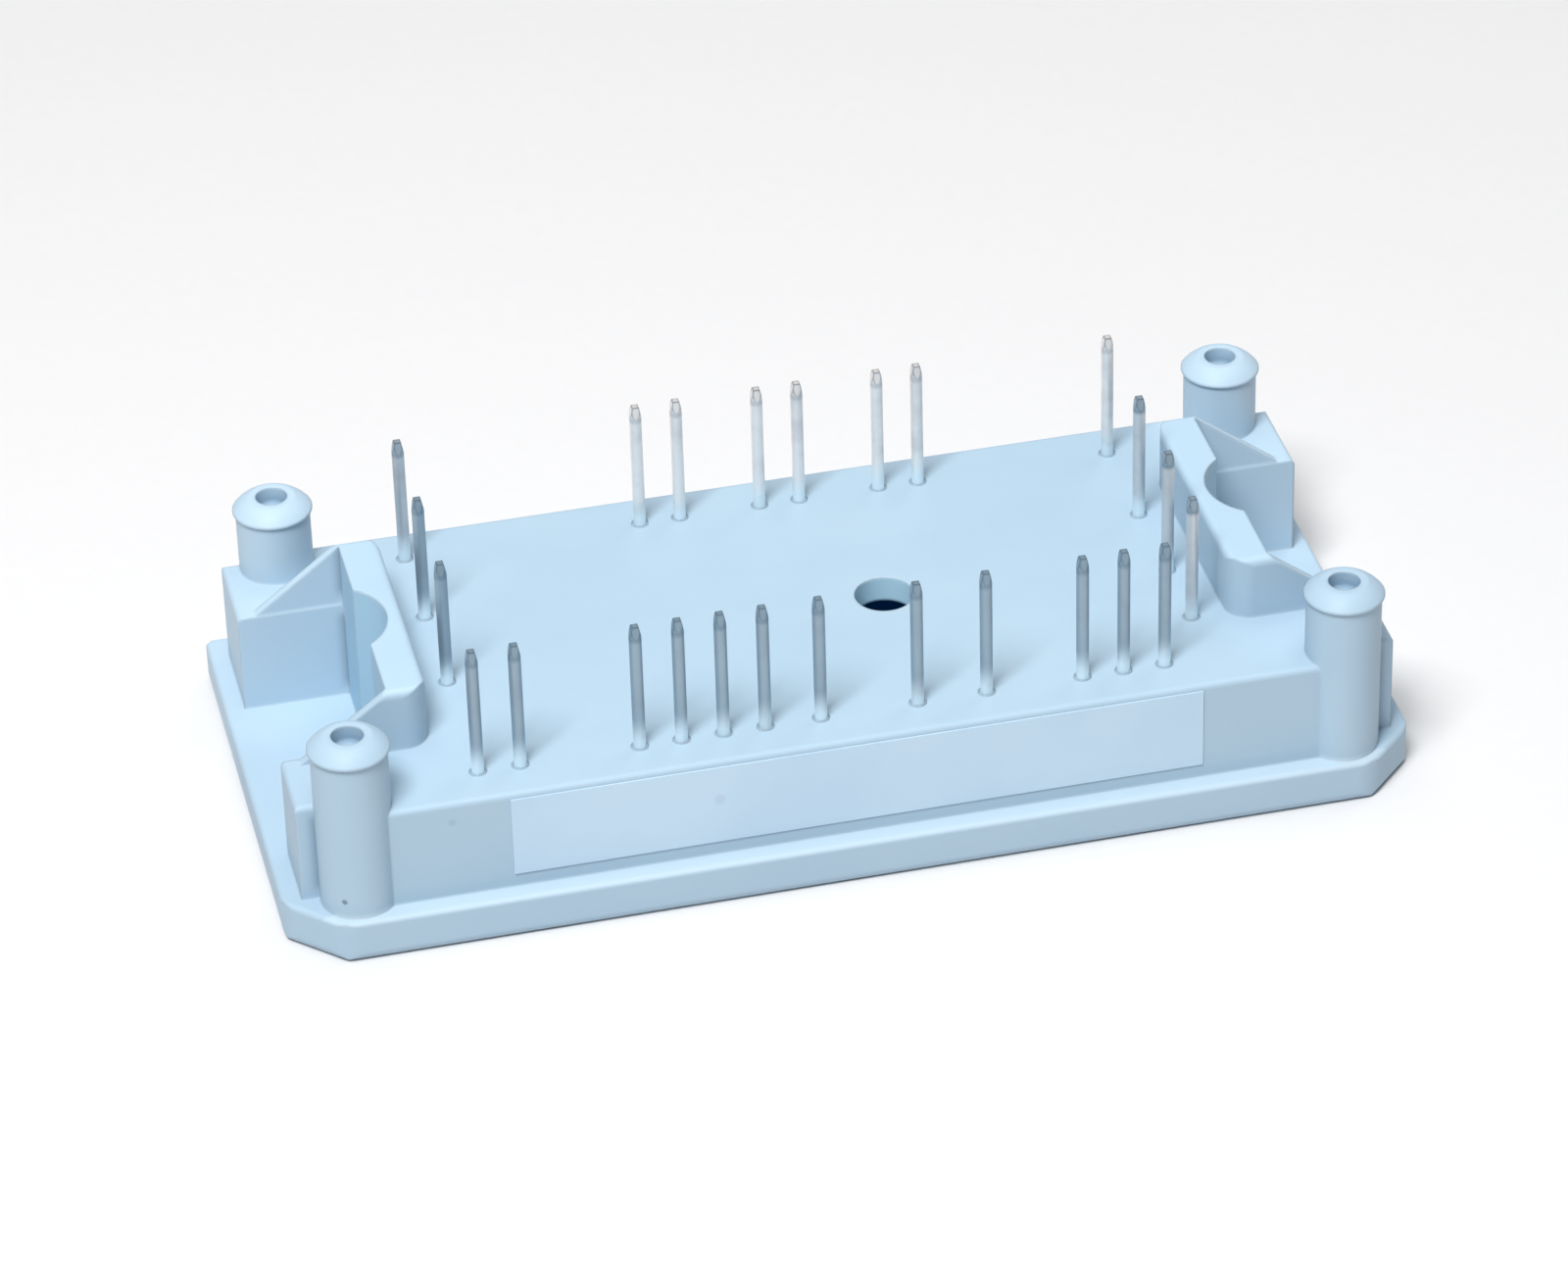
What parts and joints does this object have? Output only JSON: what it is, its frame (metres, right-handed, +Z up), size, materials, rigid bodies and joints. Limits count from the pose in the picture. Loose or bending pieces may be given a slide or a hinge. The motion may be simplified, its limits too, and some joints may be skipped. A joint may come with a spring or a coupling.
{
  "type": "power semiconductor module",
  "caption": "Low moulded power module with screw pockets at both ends, corner board posts, rows of upright contact pins and a flat ceramic underside.",
  "frame": {"origin": "middle of the underside, where the base copper meets the heatsink", "axes": "+X along the length, +Y across the width away from the label, +Z up, the way the pins point"},
  "size_m": [0.082, 0.0374, 0.0212],
  "materials": {
    "housing_plastic": "pale sky-blue moulded plastic, satin",
    "label_film": "thin pale film label, left blank",
    "silicone": "cured white silicone adhesive",
    "copper": "bare copper, satin",
    "ceramic": "white alumina, matte",
    "thermistor_body": "dark sintered chip",
    "wire_aluminium": "bright drawn wire",
    "gel": "clear soft silicone gel",
    "silicon": "dark polished chip",
    "tinned_pin": "tin-plated copper wire, satin"
  },
  "bodies": {
    "root": {"housing": "housing_plastic", "label": "label_film", "adhesive_bead": "silicone", "base_copper": "copper", "ceramic_tile": "ceramic", "copper_tracks": "copper", "thermistor": "thermistor_body", "bond_wires": "wire_aluminium", "gel": "gel", "igbt_chip_1": "silicon", "igbt_chip_2": "silicon", "igbt_chip_3": "silicon", "igbt_chip_4": "silicon", "igbt_chip_5": "silicon", "igbt_chip_6": "silicon", "igbt_chip_7": "silicon", "diode_chip_1": "silicon", "diode_chip_2": "silicon", "diode_chip_3": "silicon", "diode_chip_4": "silicon", "diode_chip_5": "silicon", "diode_chip_6": "silicon", "diode_chip_7": "silicon", "rectifier_chip_1": "silicon", "rectifier_chip_2": "silicon", "rectifier_chip_3": "silicon", "rectifier_chip_4": "silicon", "rectifier_chip_5": "silicon", "rectifier_chip_6": "silicon", "pin_1": "tinned_pin", "pin_2": "tinned_pin", "pin_3": "tinned_pin", "pin_4": "tinned_pin", "pin_5": "tinned_pin", "pin_6": "tinned_pin", "pin_7": "tinned_pin", "pin_8": "tinned_pin", "pin_9": "tinned_pin", "pin_10": "tinned_pin", "pin_11": "tinned_pin", "pin_12": "tinned_pin", "pin_13": "tinned_pin", "pin_14": "tinned_pin", "pin_15": "tinned_pin", "pin_16": "tinned_pin", "pin_17": "tinned_pin", "pin_18": "tinned_pin", "pin_19": "tinned_pin", "pin_20": "tinned_pin", "pin_21": "tinned_pin", "pin_22": "tinned_pin", "pin_23": "tinned_pin", "pin_24": "tinned_pin", "pin_25": "tinned_pin"}
  },
  "joints": []
}
